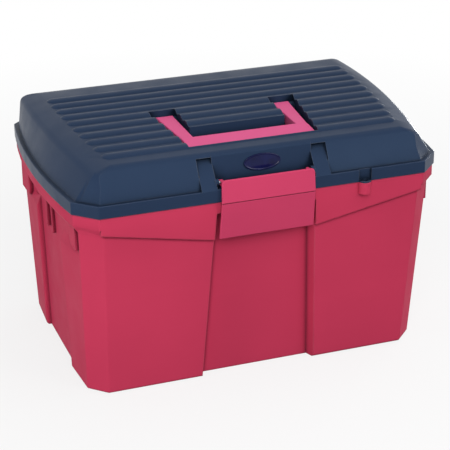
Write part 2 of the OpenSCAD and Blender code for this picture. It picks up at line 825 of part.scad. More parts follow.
module lid() {
    color(navy)
        difference() {
            union() {
                difference() {
                    union() {
                        rim();
                        difference() {
                            union() {
                                lid_form(0, ledge_z - over);
                                lid_ribs();
                            }
                            bay_space();
                        }
                    }
                    lid_hollow();
                    translate([0, 0, well_floor_z])
                        linear_extrude(rim_w)
                            handle_well(0);
                    padlock_notch();
                }
                bay_walls();
                both_sides() {
                    lid_knuckle();
                    handle_bosses();
                }
                intersection() {
                    padlock_tab();
                    translate([0, -rim_w / 2 - rim_front + skirt_wall / 2, seam_z])
                        cube([2 * rim_l, rim_w, rim_w], center = true);
                }
            }
            both_sides() {
                rod_x(hinge_x - lid_knuckle_l, hinge_x + lid_knuckle_l,
                      hinge_y, hinge_z, hinge_pin_d + 2 * pin_clear);
                rod_x(handle_pin_x0, handle_pin_x1, -handle_pivot_y, handle_pivot_z, handle_pin_d);
                rod_x(latch_top_w / 2 - over, latch_pin_x1, latch_pivot_y, latch_pivot_z, latch_pin_d);
            }
            padlock_hole();
        }
}

// Handle: a grip between two arms that widen to their heels, hollow underneath
grip_rear_y = grip_w - grip_front_y;
grip_mid_y = grip_w / 2 - grip_front_y;
arm_top_z = seam_z + arm_top_h;
arm_foot_z = arm_top_z - arm_h;
grip_wall_share = 0.12;

module handle_arm() {
    intersection() {
        along_x(arm_inner_x, heel_outer_x) {
            translate([-handle_pivot_y, handle_pivot_z])
                circle(r = heel_r);
            polygon([[-handle_pivot_y, handle_pivot_z - heel_r], [-handle_pivot_y, handle_pivot_z + heel_r],
                     [grip_mid_y, arm_top_z], [grip_mid_y, arm_foot_z]]);
        }
        translate([0, 0, seam_z])
            linear_extrude(rim_w)
                polygon([[arm_inner_x, grip_mid_y], [arm_outer_x, grip_mid_y], [arm_outer_x, grip_rear_y],
                         [heel_outer_x, -handle_pivot_y], [heel_outer_x, arm_h - handle_pivot_y],
                         [arm_inner_x, arm_h - handle_pivot_y]]);
    }
}

module grip() {
    front = -grip_front_y;
    wall = grip_wall_share * grip_w;
    front_top_z = arm_top_z - grip_fall;
    along_x(-arm_outer_x, arm_outer_x)
        polygon([[front, front_top_z - wall / 2], [front + wall / 2, front_top_z],
                 [grip_rear_y - 2 * wall, arm_top_z], [grip_rear_y - wall, arm_top_z + grip_lip],
                 [grip_rear_y, arm_top_z + grip_lip / 2],
                 [grip_rear_y, arm_foot_z + wall / 2], [grip_rear_y - wall / 2, arm_foot_z],
                 [front + wall, arm_foot_z], [front, arm_foot_z + wall]]);
}

// The hollow in the underside of the grip
module grip_hollow() {
    wall = grip_wall_share * grip_w;
    along_x(-arm_inner_x, arm_inner_x)
        polygon([[wall - grip_front_y, arm_foot_z - over],
                 [wall - grip_front_y, arm_top_z - grip_fall - wall],
                 [grip_rear_y - wall, arm_top_z - wall],
                 [grip_rear_y - wall, arm_foot_z - over]]);
}

module handle() {
    color(bright_pink)
        difference() {
            union() {
                both_sides()
                    handle_arm();
                grip();
            }
            grip_hollow();
            both_sides()
                rod_x(arm_inner_x - over, heel_outer_x + over,
                      -handle_pivot_y, handle_pivot_z, handle_pin_d + 2 * pin_clear);
        }
}

// Latch: a bent plate with two ears on its pins and a hook that goes under the collar
latch_top = [-rim_front - latch_top_out, seam_z + latch_rise];
latch_crease = [-rim_front - latch_crease_out, seam_z];
latch_foot = [latch_foot_in - rim_front, seam_z - latch_drop];
function latch_face(z) = z > seam_z
    ? mix(latch_crease[0], latch_top[0], (z - seam_z) / latch_rise)
    : mix(latch_crease[0], latch_foot[0], (seam_z - z) / latch_drop);

module latch_outline() {
    top = latch_top_w / 2;
    foot = latch_foot_w / 2;
    r = latch_round;
    corner = [top, seam_z + latch_rise];
    half = concat([[foot, seam_z - latch_drop]],
                  rounded(corner - [0, r], corner, corner - [r, 0], 6));
    n = len(half);
    polygon(concat(half, [for (i = [n - 1:-1:0]) [-half[i][0], half[i][1]]]));
}

module latch_plate() {
    t = [latch_t, 0];
    intersection() {
        along_x(-rim_l / 2, rim_l / 2)
            polygon([latch_top, latch_crease, latch_foot, latch_foot + t, latch_crease + t, latch_top + t]);
        translate([0, -rim_front + rim_w / 2, 0])
            rotate([90, 0, 0])
                linear_extrude(rim_w)
                    latch_outline();
    }
}

ear_r = latch_pivot_h - rim_h - side_clear;

// An ear's underside rises towards the plate, so it clears the ledge when the latch is pressed home
module latch_ear() {
    x1 = latch_top_w / 2 - side_clear;
    z0 = latch_pivot_z - ear_r;
    z1 = latch_pivot_z + ear_r;
    along_x(x1 - ear_t, x1) {
        translate([latch_pivot_y, latch_pivot_z])
            circle(r = ear_r);
        polygon([[latch_face(z0) + latch_t / 2, z0 + ear_r / 4], [latch_pivot_y, z0],
                 [latch_pivot_y, z1], [latch_face(z1) + latch_t / 2, z1]]);
    }
}

module latch_hook() {
    nose_y = -collar_front - seam_gap;
    top_z = shelf_z - side_clear - seam_gap;
    h = latch_t;
    along_x(-hook_w / 2, hook_w / 2)
        polygon([[latch_face(top_z) + latch_t / 2, top_z], [nose_y, top_z - seam_gap], [nose_y, top_z - h / 2],
                 [latch_face(top_z - 2 * h) + latch_t / 2, top_z - 2 * h]]);
}

module latch() {
    color(pink)
        difference() {
            union() {
                latch_plate();
                latch_hook();
                both_sides()
                    latch_ear();
            }
            both_sides()
                rod_x(latch_pin_x0 - over, latch_top_w / 2 + over,
                      latch_pivot_y, latch_pivot_z, latch_pin_d + 2 * pin_clear);
        }
}

// Tray: a drafted box with one long and three short compartments and a carrying arch
function round_rect(x, y0, y1, r) = [for (c = [[x - r, y0 + r, -90], [x - r, y1 - r, 0],
                                               [r - x, y1 - r, 90], [r - x, y0 + r, 180]])
    for (i = [0:5]) let (a = c[2] + i * 18) [c[0] + r * cos(a), c[1] + r * sin(a)]];

tray_top_z = tray_z + tray_h;
arch_y = (tray_rear - tray_front) / 2;

function tray_ring(z, d) =
    let (in = d + tray_draft * (1 - (z - tray_z) / tray_h))
    at_height(round_rect(tray_l / 2 - in, in - tray_front, tray_rear - in, tray_corner_r - d), z);

module tray_block(d, z0, z1) {
    loft([tray_ring(z0, d), tray_ring(z1, d)]);
}

// The arch rises from the long divider to the seam
module arch() {
    z1 = seam_z;
    bar = tray_wall + arch_t / 2;
    hole_l = arch_l - 4 * bar;
    translate([0, arch_y + arch_t / 2, 0])
        rotate([90, 0, 0])
            linear_extrude(arch_t)
                difference() {
                    polygon([[-arch_l / 2, tray_z + tray_wall / 2], [arch_l / 2, tray_z + tray_wall / 2],
                             [arch_l / 2 - bar, z1], [bar - arch_l / 2, z1]]);
                    translate([-hole_l / 2, z1 - bar - arch_hole_h])
                        square([hole_l, arch_hole_h]);
                }
}

module tray_dividers() {
    low = tray_z + tray_wall / 2;
    h = tray_h - tray_draft;
    thirds = tray_l / 3;
    for (side = [-1, 1]) {
        translate([side * (arch_l / 4 + tray_l / 4) - (tray_l - arch_l) / 4 - over / 2,
                   arch_y - tray_wall / 2, low])
            cube([(tray_l - arch_l) / 2 + over, tray_wall, h]);
        translate([side * thirds / 2 - tray_wall / 2, arch_y, low])
            cube([tray_wall, tray_rear - arch_y, h]);
    }
}

module tray() {
    color(tray_grey) {
        difference() {
            tray_block(0, tray_z, tray_top_z);
            tray_block(tray_wall, tray_z + tray_wall, tray_top_z + over);
        }
        intersection() {
            tray_dividers();
            tray_block(tray_wall / 2, tray_z, tray_top_z);
        }
        arch();
    }
}

// Badge: a plain oval plate on the bay's back wall
bay_slope = atan(bay_lean / (bay_head_z - ledge_z));

module badge() {
    mid_z = (seam_z + latch_rise + bay_head_z) / 2 - badge_drop;
    mid_y = mix(bay_foot_y, bay_head_y, (mid_z - ledge_z) / (bay_head_z - ledge_z));
    fit = (bay_head_z - seam_z - latch_rise) / badge_h;
    color(gloss_navy)
        translate([0, mid_y, mid_z])
            rotate([90 - bay_slope, 0, 0])
                linear_extrude(badge_t)
                    polygon([for (a = [0:6:354])
                             [badge_w / 2 * cos(a), badge_h / 2 * min(1, fit) * sin(a)]]);
}

// Pins
module hinge_pin() {
    color(steel)
        rod_x(tub_knuckle_x, tub_knuckle_x + hinge_l, hinge_y, hinge_z, hinge_pin_d);
}

module handle_pin() {
    color(steel)
        rod_x(handle_pin_x0, handle_pin_x1, -handle_pivot_y, handle_pivot_z, handle_pin_d);
}

module latch_pin() {
    color(steel)
        rod_x(latch_pin_x0, latch_pin_x1, latch_pivot_y, latch_pivot_z, latch_pin_d);
}

tub();
padlock_boss();
lid();
handle();
latch();
tray();
badge();
mirror([1, 0, 0]) hinge_pin();  // hinge_pin_left
hinge_pin();  // hinge_pin_right
mirror([1, 0, 0]) handle_pin();  // handle_pin_left
handle_pin();  // handle_pin_right
mirror([1, 0, 0]) latch_pin();  // latch_pin_left
latch_pin();  // latch_pin_right
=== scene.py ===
"""A moulded grooming box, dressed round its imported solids.

The tub, the padlock eye, the lid, the handle, the latch, the badge, the tray and the pins each have
a step of their own, and one more step sets up the stage.
"""

import json
import math
from contextlib import contextmanager

import bmesh
import bpy
from bpy.props import FloatProperty, FloatVectorProperty, PointerProperty
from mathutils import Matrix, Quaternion, Vector


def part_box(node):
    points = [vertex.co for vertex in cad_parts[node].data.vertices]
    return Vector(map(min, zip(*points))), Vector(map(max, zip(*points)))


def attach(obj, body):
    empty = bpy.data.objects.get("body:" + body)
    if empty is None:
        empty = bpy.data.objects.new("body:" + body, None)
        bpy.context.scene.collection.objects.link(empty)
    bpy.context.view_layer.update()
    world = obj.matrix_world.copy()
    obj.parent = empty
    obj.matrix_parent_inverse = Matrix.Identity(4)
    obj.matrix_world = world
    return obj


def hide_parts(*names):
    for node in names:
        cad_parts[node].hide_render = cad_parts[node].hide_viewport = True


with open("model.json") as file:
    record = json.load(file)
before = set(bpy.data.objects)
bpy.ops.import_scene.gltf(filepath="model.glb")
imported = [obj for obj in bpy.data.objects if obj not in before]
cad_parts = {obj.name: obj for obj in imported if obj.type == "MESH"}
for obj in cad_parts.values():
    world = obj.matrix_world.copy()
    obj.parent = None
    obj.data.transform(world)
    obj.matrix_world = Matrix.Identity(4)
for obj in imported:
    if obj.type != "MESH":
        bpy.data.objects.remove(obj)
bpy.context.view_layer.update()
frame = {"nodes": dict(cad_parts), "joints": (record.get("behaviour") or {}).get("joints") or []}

bl_info = {
    "name": "Grooming Box",
    "version": (1, 0, 0),
    "blender": (4, 5, 0),
    "location": "View3D > Sidebar > Grooming Box",
    "description": "Models and finishes a moulded grooming box round its solid parts",
    "category": "Add Mesh",
}

MM = 0.001
TINY = 0.02 * MM  # places closer than this are the same
PIN_ROOM = 0.05 * MM  # room round a pin in its hole
NOISE_SPAN = (0.3, 0.7)  # the range that a noise texture mostly fills
MIX_COLOURS = (6, 7)  # sockets of a Mix node's two colours
MIX_RESULT = 2  # socket of a Mix node's mixed colour
WHITE = (1, 1, 1, 1)


def joint_place(name):
    """The point on a joint's axis."""
    return Vector(next(j["pos_m"] for j in frame["joints"] if j["name"] == name))


def linear(code):
    """A colour written as rrggbb, in the linear values that shaders use."""
    shares = [int(code[i:i + 2], 16) / 255 for i in (0, 2, 4)]
    return [s / 12.92 if s <= 0.04045 else ((s + 0.055) / 1.055) ** 2.4 for s in shares]


# Sizes and colours that a user would change

def length(name, description, millimetres):
    """A length property, given in millimetres."""
    return FloatProperty(name=name, description=description, default=millimetres * MM,
                         min=0, unit="LENGTH", precision=5)


def colour(name, description, code):
    """A colour property, given as rrggbb."""
    return FloatVectorProperty(name=name, description=description, default=linear(code),
                               min=0, max=1, subtype="COLOR")


def share(name, description, value):
    """A share from 0 to 1."""
    return FloatProperty(name=name, description=description, default=value,
                         min=0, max=1, subtype="FACTOR")


def strength(name, description, value):
    """The strength of a light."""
    return FloatProperty(name=name, description=description, default=value, min=0)


class GroomBoxSizes(bpy.types.PropertyGroup):
    """Sizes of the pieces"""
    tub_round: length("Tub edges", "Rounding of the tub's moulded edges", 1.0)
    lid_round: length("Lid edges", "Rounding of the lid's moulded edges", 0.9)
    handle_w: length("Handle width", "Width of the handle across its grip", 140)
    arm_w: length("Arm width", "Width of an arm beside the grip", 13)
    arm_top: length("Arm top", "Height of the arms' top above the handle's lowest point", 11)
    grip_depth: length("Grip depth", "Depth of the grip, front to back", 27)
    grip_fall: length("Grip fall", "Fall of the grip's top towards its front", 1.7)
    grip_lip: length("Grip lip", "Rise of the grip's rear lip over the arms", 0.8)
    grip_wall: length("Grip wall", "Wall of the grip, which is hollow underneath", 3.2)
    handle_round: length("Handle edges", "Rounding of the handle's edges", 1.1)
    heel_r: length("Heel radius", "Radius of the arms' heels round the pivot", 5.5)
    eye_round: length("Eye edges", "Rounding of the padlock eye's edges", 0.4)
    eye_hole: length("Eye hole", "Diameter of the padlock eye's hole", 4.4)
    eye_out: length("Eye hole place", "How far the eye's hole stands out from the collar", 3)
    latch_top_w: length("Latch top", "Width of the latch at its top", 101)
    latch_t: length("Latch thickness", "Thickness of the latch plate", 2.6)
    latch_rise: length("Latch rise", "Height of the latch's top above its crease", 23.7)
    latch_top_in: length("Latch top inset", "How far the top stands behind the crease", 2.0)
    latch_foot_in: length("Latch foot inset", "How far the foot stands behind the crease", 6.6)
    latch_corner: length("Latch corners", "Rounding of the latch's upper corners", 4)
    latch_round: length("Latch edges", "Rounding of the latch's edges", 0.8)
    crease_h: length("Crease groove", "Height of the fine groove under the latch's crease", 1.0)
    crease_in: length("Groove depth", "Depth of the fine groove under the latch's crease", 0.9)
    ear_t: length("Ear thickness", "Thickness of the latch's ears", 4)
    ear_gap: length("Ear gap", "How far the ears stand in from the plate's sides", 0.15)
    ear_lean: length("Ear lean", "How far the ears lean in from their pins to the plate", 5)
    ear_cap: length("Ear cap", "Height of the ears' tops over the middle of their pins", 2.8)
    ear_r: length("Ear radius", "Radius of the latch's ears round their pins", 3.5)
    hook_w: length("Hook width", "Width of the hook behind the latch", 80)
    hook_h: length("Hook height", "Height of the hook where it leaves the latch", 5.2)
    hook_gap: length("Hook gap", "Room between the hook's nose and the collar", 0.3)
    collar_h: length("Collar height", "How far the hook lies under the crease", 13.7)
    badge_t: length("Badge thickness", "Thickness of the badge", 1.8)
    badge_round: length("Badge edges", "Rounding of the badge's edges", 0.3)
    badge_rim: length("Badge rim", "Width of the badge's raised border", 1.1)
    badge_dish: length("Badge dish", "Depth of the badge's face behind its border", 0.35)
    tray_wall: length("Tray wall", "Wall of the tray", 2)
    tray_draft: length("Tray draft", "Draft of the tray's walls over their height", 4)
    tray_corner: length("Tray corners", "Radius of the tray's corners", 14)
    tray_round: length("Tray edges", "Rounding of the tray's edges", 0.5)
    tray_rim_drop: length("Tray rim", "How far the tray's rim lies under the arch's top", 6)
    divider_drop: length("Dividers", "How far the dividers' tops lie under the tray's rim", 3)
    arch_l: length("Arch length", "Length of the carrying arch", 120)
    arch_t: length("Arch thickness", "Thickness of the carrying arch", 6)
    arch_bar: length("Arch bar", "Height of the arch's bar over the fingers", 5)
    arch_hole: length("Arch opening", "Height of the finger opening in the arch", 22)
    pin_chamfer: length("Pin chamfer", "Chamfer at the ends of the pins", 0.5)


class GroomBoxFinish(bpy.types.PropertyGroup):
    """Colours of the pieces and the floor, and the paler edges, part wear and part painted
    highlight
    """
    tub_pink: colour("Tub pink", "Plastic of the tub", "B53652")
    latch_pink: colour("Latch pink", "Plastic of the latch", "B93C5D")
    # The handle's pink is lighter than the tub's: painted light for its faces lit from above.
    handle_lit_pink: colour("Handle pink", "Plastic of the handle", "C4527E")
    lid_navy: colour("Lid navy", "Plastic of the lid", "222F45")
    lid_sheen: colour("Lid sheen", "Tint of the lid's sheen", "B0D8FF")
    tray_slate: colour("Tray slate", "Plastic of the tray", "333B4A")
    badge_navy: colour("Badge navy", "Gloss lacquer of the badge", "0E1238")
    pin_steel: colour("Pin steel", "Steel of the pins", "B9BDC2")
    floor_white: colour("Floor", "The floor as it is seen", "C8C8C8")
    floor_bounce: colour("Floor bounce", "The floor on the left, as it lights the box", "B4B4B4")
    floor_shade: colour("Floor shade", "The rest of the floor, as it lights the box", "545454")
    # Paler edges are part wear and part painted highlight; the lid's are paler still, to paint
    # light lines along its edges.
    rubbed_and_highlit: share("Rubbed edges", "How much paler the rubbed edges are", 0.11)
    lid_rubbed_and_highlit: share("Rubbed lid", "How much paler the lid's rubbed edges are", 0.26)


class GroomBoxStage(bpy.types.PropertyGroup):
    """The camera, the lamps and the soft light"""
    eye: FloatVectorProperty(name="Camera", description="Place of the camera", unit="LENGTH",
                             subtype="TRANSLATION", default=(-0.5291, -1.4768, 0.7937))
    target: FloatVectorProperty(name="Target", description="Point that the camera looks at",
                                unit="LENGTH", subtype="TRANSLATION",
                                default=(0.00671, 0, 0.11729))
    roll: FloatProperty(name="Roll", description="Tilt of the camera round its line of sight",
                        default=math.radians(-0.41), subtype="ANGLE")
    lens: FloatProperty(name="Lens", description="Focal length on a 36 mm sensor", default=121.65)
    sky_light: strength("Sky", "Strength of the soft light from above", 1.4)
    wall_light: strength("Walls", "Strength of the soft light from the sides", 0.08)
    key_light: strength("Key", "Power of the large lamp at the front left", 36)
    left_light: strength("Left", "Power of the low lamp on the left", 18)
    fill_light: strength("Fill", "Power of the lamp at the front right", 16)
    back_light: strength("Back", "Power of the low lamp at the rear right", 36)
    floor_glow: share("Floor glow", "How far the floor near the box is white by itself", 0.8)


# Hand modelling

def deselect_all():
    """Leaves edit mode and clears the selection."""
    if bpy.context.object and bpy.context.object.mode != "OBJECT":
        bpy.ops.object.mode_set(mode="OBJECT")
    bpy.ops.object.select_all(action="DESELECT")


def make_active(piece):
    """Selects one piece alone."""
    deselect_all()
    piece.select_set(True)
    bpy.context.view_layer.objects.active = piece


def name_new(name):
    """Names the primitive just added, with its place put into its mesh."""
    piece = bpy.context.object
    piece.name = name
    piece.data.name = name
    bpy.ops.object.transform_apply(location=True, rotation=True, scale=True)
    return piece


def block(name, low, high):
    """A cube primitive that fills the box from low to high."""
    low = Vector(low)
    high = Vector(high)
    deselect_all()
    bpy.ops.mesh.primitive_cube_add(size=1, location=(low + high) / 2)
    bpy.context.object.scale = high - low
    return name_new(name)


def rod(name, x0, x1, y, z, radius, sides=40):
    """A cylinder primitive along X."""
    deselect_all()
    bpy.ops.mesh.primitive_cylinder_add(vertices=sides, radius=radius, depth=x1 - x0,
                                        location=((x0 + x1) / 2, y, z),
                                        rotation=(0, math.pi / 2, 0))
    return name_new(name)


@contextmanager
def editing(piece):
    """Edit mode on one piece."""
    make_active(piece)
    bpy.ops.object.mode_set(mode="EDIT")
    yield
    bpy.ops.object.mode_set(mode="OBJECT")


def pick(piece, kind, test):
    """Selects the vertices, edges or faces of the piece in edit mode for which test holds."""
    bpy.ops.mesh.select_mode(type=kind)
    bpy.ops.mesh.select_all(action="DESELECT")
    mesh = bmesh.from_edit_mesh(piece.data)
    for part in {"VERT": mesh.verts, "EDGE": mesh.edges, "FACE": mesh.faces}[kind]:
        if test(part):
            part.select_set(True)
    mesh.select_flush_mode()
    bmesh.update_edit_mesh(piece.data)


def near(a, b):
    """Whether two places along an axis are the same."""
    return abs(a - b) < TINY


def middle(part):
    """The middle of an edge or a face."""
    return sum((v.co for v in part.verts), Vector()) / len(part.verts)


def runs_along(edge, axis):
    """Whether an edge runs along an axis, 0, 1 or 2."""
    way = (edge.verts[1].co - edge.verts[0].co).normalized()
    return abs(way[axis]) > 0.999


def cut(axis, place):
    """Cuts the whole of the edited piece by a plane across an axis."""
    point = Vector()
    point[axis] = place
    normal = Vector()
    normal[axis] = 1
    bpy.ops.mesh.select_all(action="SELECT")
    bpy.ops.mesh.bisect(plane_co=point, plane_no=normal)


def pull(move):
    """Extrudes what is selected by a vector."""
    bpy.ops.mesh.extrude_region_move(TRANSFORM_OT_translate={"value": move})


def shift(move):
    """Moves what is selected by a vector."""
    bpy.ops.transform.translate(value=move)


def bevel(width, steps=3, held=True):
    """Rounds the selected edges, held back where they would overlap unless told otherwise."""
    bpy.ops.mesh.bevel(offset=width, segments=steps, profile=0.5, affect="EDGES",
                       clamp_overlap=held)


def combine(piece, tool, way):
    """Adds another piece to this one, or cuts it away."""
    make_active(piece)
    bpy.ops.object.modifier_add(type="BOOLEAN")
    joined = piece.modifiers[-1]
    joined.operation = way
    joined.solver = "EXACT"
    joined.object = tool
    bpy.ops.object.modifier_apply(modifier=joined.name)
    bpy.data.objects.remove(tool)


def is_sharp(edge, degrees):
    """Whether the faces at an edge turn by more than an angle."""
    return len(edge.link_faces) == 2 and edge.calc_face_angle() > math.radians(degrees)


def round_edges(piece, width, steps=3, degrees=28, shortest=0.0, wanted=None):
    """Rounds the piece's sharp edges that are long enough and, if a test is given, pass it."""
    with editing(piece):
        pick(piece, "EDGE", lambda e: is_sharp(e, degrees) and e.calc_length() >= shortest
             and (wanted is None or wanted(e)))
        bevel(width, steps, held=False)


def faces_out(edge, hub):
    """Whether an edge stands out, with both its faces looking away from a point inside the box."""
    way = middle(edge) - hub
    return edge.is_convex and all(face.normal.dot(way) > -2 * MM for face in edge.link_faces)


def smooth(piece, degrees=32):
    """Smooth shading over everything but the sharp edges, with faces weighted by their area."""
    make_active(piece)
    bpy.ops.object.shade_smooth_by_angle(angle=math.radians(degrees))
    bpy.ops.object.modifier_add(type="WEIGHTED_NORMAL")
    piece.modifiers[-1].keep_sharp = True
    bpy.ops.object.modifier_apply(modifier=piece.modifiers[-1].name)


def solid_copy(node, name):
    """A merged copy of a solid's mesh, with its flat faces made whole, to be worked on by hand."""
    mesh = frame["nodes"][node].data.copy()
    mesh.materials.clear()
    mesh.name = name
    piece = bpy.data.objects.new(name, mesh)
    bpy.context.scene.collection.objects.link(piece)
    with editing(piece):
        bpy.ops.mesh.select_all(action="SELECT")
        bpy.ops.mesh.remove_doubles(threshold=TINY)
        bpy.ops.mesh.customdata_custom_splitnormals_clear()
        bpy.ops.mesh.dissolve_limited(angle_limit=math.radians(0.3))
    return piece


def pin_hole(node):
    """Radius of the hole round a pin."""
    low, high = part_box(node)
    return (high.z - low.z) / 2 + PIN_ROOM


def hand_over(piece, body, material, slot, *nodes):
    """Gives a finished piece its material and its body, and hides the solids that it stands for."""
    piece.data.materials.clear()
    piece.data.materials.append(material)
    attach(piece, body)
    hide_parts(*nodes)


# Finishes

class Shader:
    """A material under construction: nodes are added by type and joined by socket name."""

    def __init__(self, name):
        self.material = bpy.data.materials.get(name) or bpy.data.materials.new(name)
        self.material.use_nodes = True
        self.tree = self.material.node_tree
        self.tree.nodes.clear()
        self.surface = self.add("ShaderNodeBsdfPrincipled")
        self.out = self.add("ShaderNodeOutputMaterial")
        self.join(self.surface, "BSDF", self.out, "Surface")
        self.place = self.add("ShaderNodeTexCoord")

    def add(self, kind, values=None, **settings):
        """A node with its settings and its sockets' values."""
        node = self.tree.nodes.new(kind)
        for key, value in settings.items():
            setattr(node, key, value)
        for key, value in (values or {}).items():
            node.inputs[key].default_value = value
        return node

    def join(self, a, out, b, into):
        """A link from a socket of one node to a socket of another."""
        self.tree.links.new(a.outputs[out], b.inputs[into])

    def noise(self, scale, detail=2.0, stretch=(1, 1, 1), roughness=0.5):
        """Noise on the piece's own coordinates."""
        node = self.add("ShaderNodeTexNoise",
                        {"Scale": scale, "Detail": detail, "Roughness": roughness})
        mapping = self.add("ShaderNodeMapping", {"Scale": stretch})
        self.join(self.place, "Object", mapping, "Vector")
        self.join(mapping, "Vector", node, "Vector")
        return node

    def ranged(self, source, out, low, high, to_low, to_high):
        """A value moved from one range to another, held inside it."""
        node = self.add("ShaderNodeMapRange", {"From Min": low, "From Max": high,
                                               "To Min": to_low, "To Max": to_high}, clamp=True)
        self.join(source, out, node, "Value")
        return node

    def spread(self, noise, to_low=0.0, to_high=1.0):
        """A noise's usual range moved to another."""
        return self.ranged(noise, "Fac", *NOISE_SPAN, to_low, to_high)

    def times(self, a, out_a, b, out_b):
        """The product of two values."""
        node = self.add("ShaderNodeMath", operation="MULTIPLY")
        self.join(a, out_a, node, 0)
        self.join(b, out_b, node, 1)
        return node

    def blend(self, factor, out, first, second):
        """A mix of two colours, each a colour or a node with a Result."""
        node = self.add("ShaderNodeMix", data_type="RGBA", blend_type="MIX")
        self.join(factor, out, node, "Factor")
        for side, source in zip(MIX_COLOURS, (first, second)):
            if hasattr(source, "outputs"):
                self.join(source, MIX_RESULT, node, side)
            else:
                node.inputs[side].default_value = (*source, 1)
        return node

    def paint(self, mixed):
        """Gives the surface a mixed colour."""
        self.join(mixed, MIX_RESULT, self.surface, "Base Color")

    def set_surface(self, **values):
        """Sets sockets of the surface that are the same all over."""
        for key, value in values.items():
            self.surface.inputs[key.replace("_", " ")].default_value = value

    def painted_crevice_shade(self, reach):
        """A painted shade: ambient occlusion made into a value that falls from 1 in the open to 0
        deep in grooves and corners, where shade falls.
        """
        deep, clear = 0.6, 0.97
        shade = self.add("ShaderNodeAmbientOcclusion", {"Distance": reach},
                         samples=8, only_local=True)
        return self.ranged(shade, "AO", deep, clear, 0.0, 1.0)

    def edges(self, radius):
        """A mask of the edges where two faces meet within the radius, and the rounded normal."""
        level, turned = 0.99, 0.86
        rounded = self.add("ShaderNodeBevel", {"Radius": radius}, samples=6)
        flat = self.add("ShaderNodeNewGeometry")
        dot = self.add("ShaderNodeVectorMath", operation="DOT_PRODUCT")
        self.join(rounded, "Normal", dot, 0)
        self.join(flat, "Normal", dot, 1)
        return self.ranged(dot, "Value", level, turned, 0.0, 1.0), rounded


def shown_rays(tree):
    """A node whose Value is 1 for what is seen, straight, in gloss or through glass, and else 0."""
    path = tree.nodes.new("ShaderNodeLightPath")
    shown = path.outputs["Is Camera Ray"]
    for kind in ("Is Glossy Ray", "Is Transmission Ray"):
        larger = tree.nodes.new("ShaderNodeMath")
        larger.operation = "MAXIMUM"
        tree.links.new(shown, larger.inputs[0])
        tree.links.new(path.outputs[kind], larger.inputs[1])
        shown = larger.outputs["Value"]
    return larger


def scaled(rgb, factor):
    """A colour made lighter or darker."""
    return [min(1.0, c * factor) for c in rgb]


def towards_white(rgb, amount):
    """A colour made paler."""
    return [c + (1 - c) * amount for c in rgb]


def moulded_plastic(name, rgb, rough, rubbed_and_highlit, soft=0.9 * MM, groove=5 * MM, sheen=0.02,
                    sheen_tint=(1, 1, 1)):
    """Satin moulded plastic: fine grain, flow streaks, paler edges that are part wear and part
    painted highlight, and painted shade in grooves and corners.

    rough is the mean roughness, soft the width of the rounded edges and groove the reach of the
    painted shade.
    """
    shader = Shader(name)
    body = shader.blend(shader.spread(shader.noise(7.0, 3.0)), "Result",
                        scaled(rgb, 0.95), scaled(rgb, 1.05))
    streak = shader.noise(26.0, 4.0, stretch=(0.25, 1, 1.6), roughness=0.6)
    streaked = shader.ranged(streak, "Fac", 0.52, 0.78, 0.0, 0.22)
    body = shader.blend(streaked, "Result", body, scaled(rgb, 1.12))
    # Paler edges: wear in patches, and a painted highlight along the rounded edges.
    mask, rounded = shader.edges(soft)
    patchy = shader.spread(shader.noise(55.0, 3.0), to_low=0.35)
    wear_and_highlight = shader.times(mask, "Result", patchy, "Result")
    wear_and_highlight_share = shader.ranged(wear_and_highlight, "Value", 0.0, 1.0, 0.0, rubbed_and_highlit)
    body = shader.blend(wear_and_highlight_share, "Result", body, towards_white(rgb, 0.35))
    # Painted shade: deep in grooves and corners the colour falls to a third of itself.
    shader.paint(shader.blend(shader.painted_crevice_shade(groove), "Result", scaled(rgb, 0.3), body))
    uneven = shader.spread(shader.noise(38.0, 3.0), rough - 0.05, rough + 0.06)
    shader.join(uneven, "Result", shader.surface, "Roughness")
    grain = shader.noise(1500.0, roughness=0.6)
    bump = shader.add("ShaderNodeBump", {"Strength": 0.08, "Distance": 0.2 * MM})
    shader.join(grain, "Fac", bump, "Height")
    shader.join(rounded, "Normal", bump, "Normal")
    shader.join(bump, "Normal", shader.surface, "Normal")
    shader.set_surface(Specular_IOR_Level=sheen, Specular_Tint=(*sheen_tint, 1))
    return shader.material


def badge_lacquer(name, rgb):
    """Deep gloss lacquer with a faint depth of tone under a clear coat."""
    shader = Shader(name)
    depth = shader.spread(shader.noise(120.0, 3.0))
    shader.paint(shader.blend(depth, "Result", scaled(rgb, 0.8), scaled(rgb, 1.3)))
    haze = shader.spread(shader.noise(300.0), 0.12, 0.2)
    shader.join(haze, "Result", shader.surface, "Roughness")
    shader.set_surface(Specular_IOR_Level=0.1, Coat_Weight=0.15, Coat_Roughness=0.06)
    return shader.material


def drawn_steel(name, rgb):
    """Drawn steel with fine lines along the pin."""
    shader = Shader(name)
    lines = shader.noise(900.0, 3.0, stretch=(0.02, 1, 1))
    shader.paint(shader.blend(shader.spread(lines), "Result", scaled(rgb, 0.85), rgb))
    shader.join(shader.spread(lines, 0.25, 0.42), "Result", shader.surface, "Roughness")
    bump = shader.add("ShaderNodeBump", {"Strength": 0.1, "Distance": 0.1 * MM})
    shader.join(lines, "Fac", bump, "Height")
    shader.join(bump, "Normal", shader.surface, "Normal")
    shader.set_surface(Metallic=1.0)
    return shader.material


